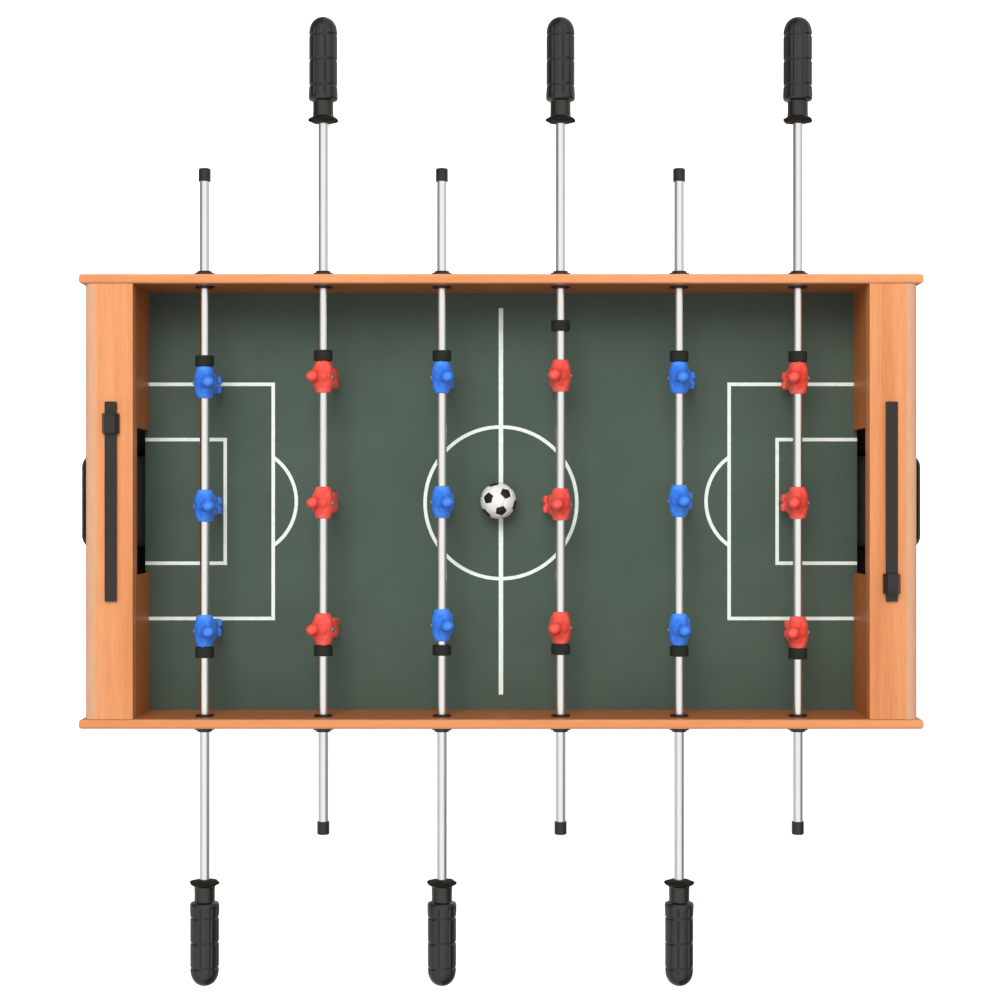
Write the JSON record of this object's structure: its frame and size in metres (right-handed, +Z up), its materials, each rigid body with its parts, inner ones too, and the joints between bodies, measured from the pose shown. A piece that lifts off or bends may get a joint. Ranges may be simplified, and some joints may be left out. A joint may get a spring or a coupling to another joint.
{
  "type": "foosball table",
  "caption": "Small table football game: wooden cabinet on four legs with sliding, turning rods of men, score sliders, goals and ball return cups.",
  "frame": {"origin": "on the floor under the middle of the pitch", "axes": "+X along the pitch to the right goal, +Y along the rods to the side of the red handles, +Z up"},
  "size_m": [0.735, 0.802, 0.6286],
  "materials": {
    "maple_laminate": "satin maple-print foil on fibreboard",
    "bare_wood": "sawn softwood",
    "pitch": "matte printed green board with white lines",
    "rod_chrome": "polished chrome plate",
    "handle_grip": "moulded black grip",
    "black_moulding": "fine-textured black plastic",
    "black_rubber": "matte black rubber",
    "man_blue": "semi-gloss moulded blue plastic",
    "man_red": "semi-gloss moulded red plastic",
    "ball_white": "white ball with black panels",
    "zinc_steel": "zinc-plated steel"
  },
  "bodies": {
    "table": {"side_rail_front": "maple_laminate", "side_rail_rear": "maple_laminate", "end_panel_left": "maple_laminate", "end_panel_right": "maple_laminate", "goal_wall_left": "maple_laminate", "goal_wall_right": "maple_laminate", "end_cap_left": "maple_laminate", "end_cap_right": "maple_laminate", "pitch_board": "pitch", "battens": "bare_wood", "return_chutes": "black_moulding", "return_cups": "black_moulding", "score_tracks": "black_moulding", "leg_front_left": "maple_laminate", "leg_front_right": "maple_laminate", "leg_rear_left": "maple_laminate", "leg_rear_right": "maple_laminate", "foot_boots": "black_moulding", "bolts_and_screws": "zinc_steel", "rod_bushes": "black_moulding"},
    "rod_1_sleeves": {"rod_1_sleeves": "black_moulding"},
    "rod_1": {"rod_1_tube": "rod_chrome", "rod_1_handle": "handle_grip", "rod_1_end_cap": "black_moulding", "rod_1_men": "man_blue", "rod_1_stops": "black_rubber"},
    "rod_2_sleeves": {"rod_2_sleeves": "black_moulding"},
    "rod_2": {"rod_2_tube": "rod_chrome", "rod_2_handle": "handle_grip", "rod_2_end_cap": "black_moulding", "rod_2_men": "man_red", "rod_2_stops": "black_rubber"},
    "rod_3_sleeves": {"rod_3_sleeves": "black_moulding"},
    "rod_3": {"rod_3_tube": "rod_chrome", "rod_3_handle": "handle_grip", "rod_3_end_cap": "black_moulding", "rod_3_men": "man_blue", "rod_3_stops": "black_rubber"},
    "rod_4_sleeves": {"rod_4_sleeves": "black_moulding"},
    "rod_4": {"rod_4_tube": "rod_chrome", "rod_4_handle": "handle_grip", "rod_4_end_cap": "black_moulding", "rod_4_men": "man_red", "rod_4_stops": "black_rubber"},
    "rod_5_sleeves": {"rod_5_sleeves": "black_moulding"},
    "rod_5": {"rod_5_tube": "rod_chrome", "rod_5_handle": "handle_grip", "rod_5_end_cap": "black_moulding", "rod_5_men": "man_blue", "rod_5_stops": "black_rubber"},
    "rod_6_sleeves": {"rod_6_sleeves": "black_moulding"},
    "rod_6": {"rod_6_tube": "rod_chrome", "rod_6_handle": "handle_grip", "rod_6_end_cap": "black_moulding", "rod_6_men": "man_red", "rod_6_stops": "black_rubber"},
    "rod_4_loose_stop": {"rod_4_loose_stop": "black_rubber"},
    "score_slider_left": {"score_slider_left": "black_moulding"},
    "score_slider_right": {"score_slider_right": "black_moulding"},
    "ball": {"ball": "ball_white"}
  },
  "joints": [
    {"name": "rod_1_spin", "type": "hinge", "parent": "table", "child": "rod_1_sleeves", "pos_m": [-0.2455, 0, 0.5975], "axis": [0, 1, 0], "continuous": true},
    {"name": "rod_1_slide", "type": "slide", "parent": "rod_1_sleeves", "child": "rod_1", "axis": [0, 1, 0], "range_m": [-0.0464, 0.055]},
    {"name": "rod_2_spin", "type": "hinge", "parent": "table", "child": "rod_2_sleeves", "pos_m": [-0.1473, 0, 0.5975], "axis": [0, 1, 0], "continuous": true},
    {"name": "rod_2_slide", "type": "slide", "parent": "rod_2_sleeves", "child": "rod_2", "axis": [0, 1, 0], "range_m": [-0.0479, 0.0505]},
    {"name": "rod_3_spin", "type": "hinge", "parent": "table", "child": "rod_3_sleeves", "pos_m": [-0.0491, 0, 0.5975], "axis": [0, 1, 0], "continuous": true},
    {"name": "rod_3_slide", "type": "slide", "parent": "rod_3_sleeves", "child": "rod_3", "axis": [0, 1, 0], "range_m": [-0.0483, 0.0508]},
    {"name": "rod_4_spin", "type": "hinge", "parent": "table", "child": "rod_4_sleeves", "pos_m": [0.0491, 0, 0.5975], "axis": [0, 1, 0], "continuous": true},
    {"name": "rod_4_slide", "type": "slide", "parent": "rod_4_sleeves", "child": "rod_4", "axis": [0, 1, 0], "range_m": [-0.049, 0.0495]},
    {"name": "rod_5_spin", "type": "hinge", "parent": "table", "child": "rod_5_sleeves", "pos_m": [0.1473, 0, 0.5975], "axis": [0, 1, 0], "continuous": true},
    {"name": "rod_5_slide", "type": "slide", "parent": "rod_5_sleeves", "child": "rod_5", "axis": [0, 1, 0], "range_m": [-0.0475, 0.0511]},
    {"name": "rod_6_spin", "type": "hinge", "parent": "table", "child": "rod_6_sleeves", "pos_m": [0.2455, 0, 0.5975], "axis": [0, 1, 0], "continuous": true},
    {"name": "rod_6_slide", "type": "slide", "parent": "rod_6_sleeves", "child": "rod_6", "axis": [0, 1, 0], "range_m": [-0.0453, 0.0514]},
    {"name": "rod_4_loose_stop_slide", "type": "slide", "parent": "rod_4", "child": "rod_4_loose_stop", "axis": [0, 1, 0], "range_m": [-0.02352, 0.02329]},
    {"name": "score_left_slide", "type": "slide", "parent": "table", "child": "score_slider_left", "axis": [0, 1, 0], "range_m": [-0.136, 0.009]},
    {"name": "score_right_slide", "type": "slide", "parent": "table", "child": "score_slider_right", "axis": [0, 1, 0], "range_m": [-0.0055, 0.139]},
    {"name": "ball_travel", "type": "slide", "parent": "table", "child": "ball", "axis": [0, 1, 0], "range_m": [-0.16, 0.16]}
  ],
  "couplings": [
    {"joint": "rod_4_loose_stop_slide", "follows": "rod_4_slide", "ratio": -0.475}
  ]
}
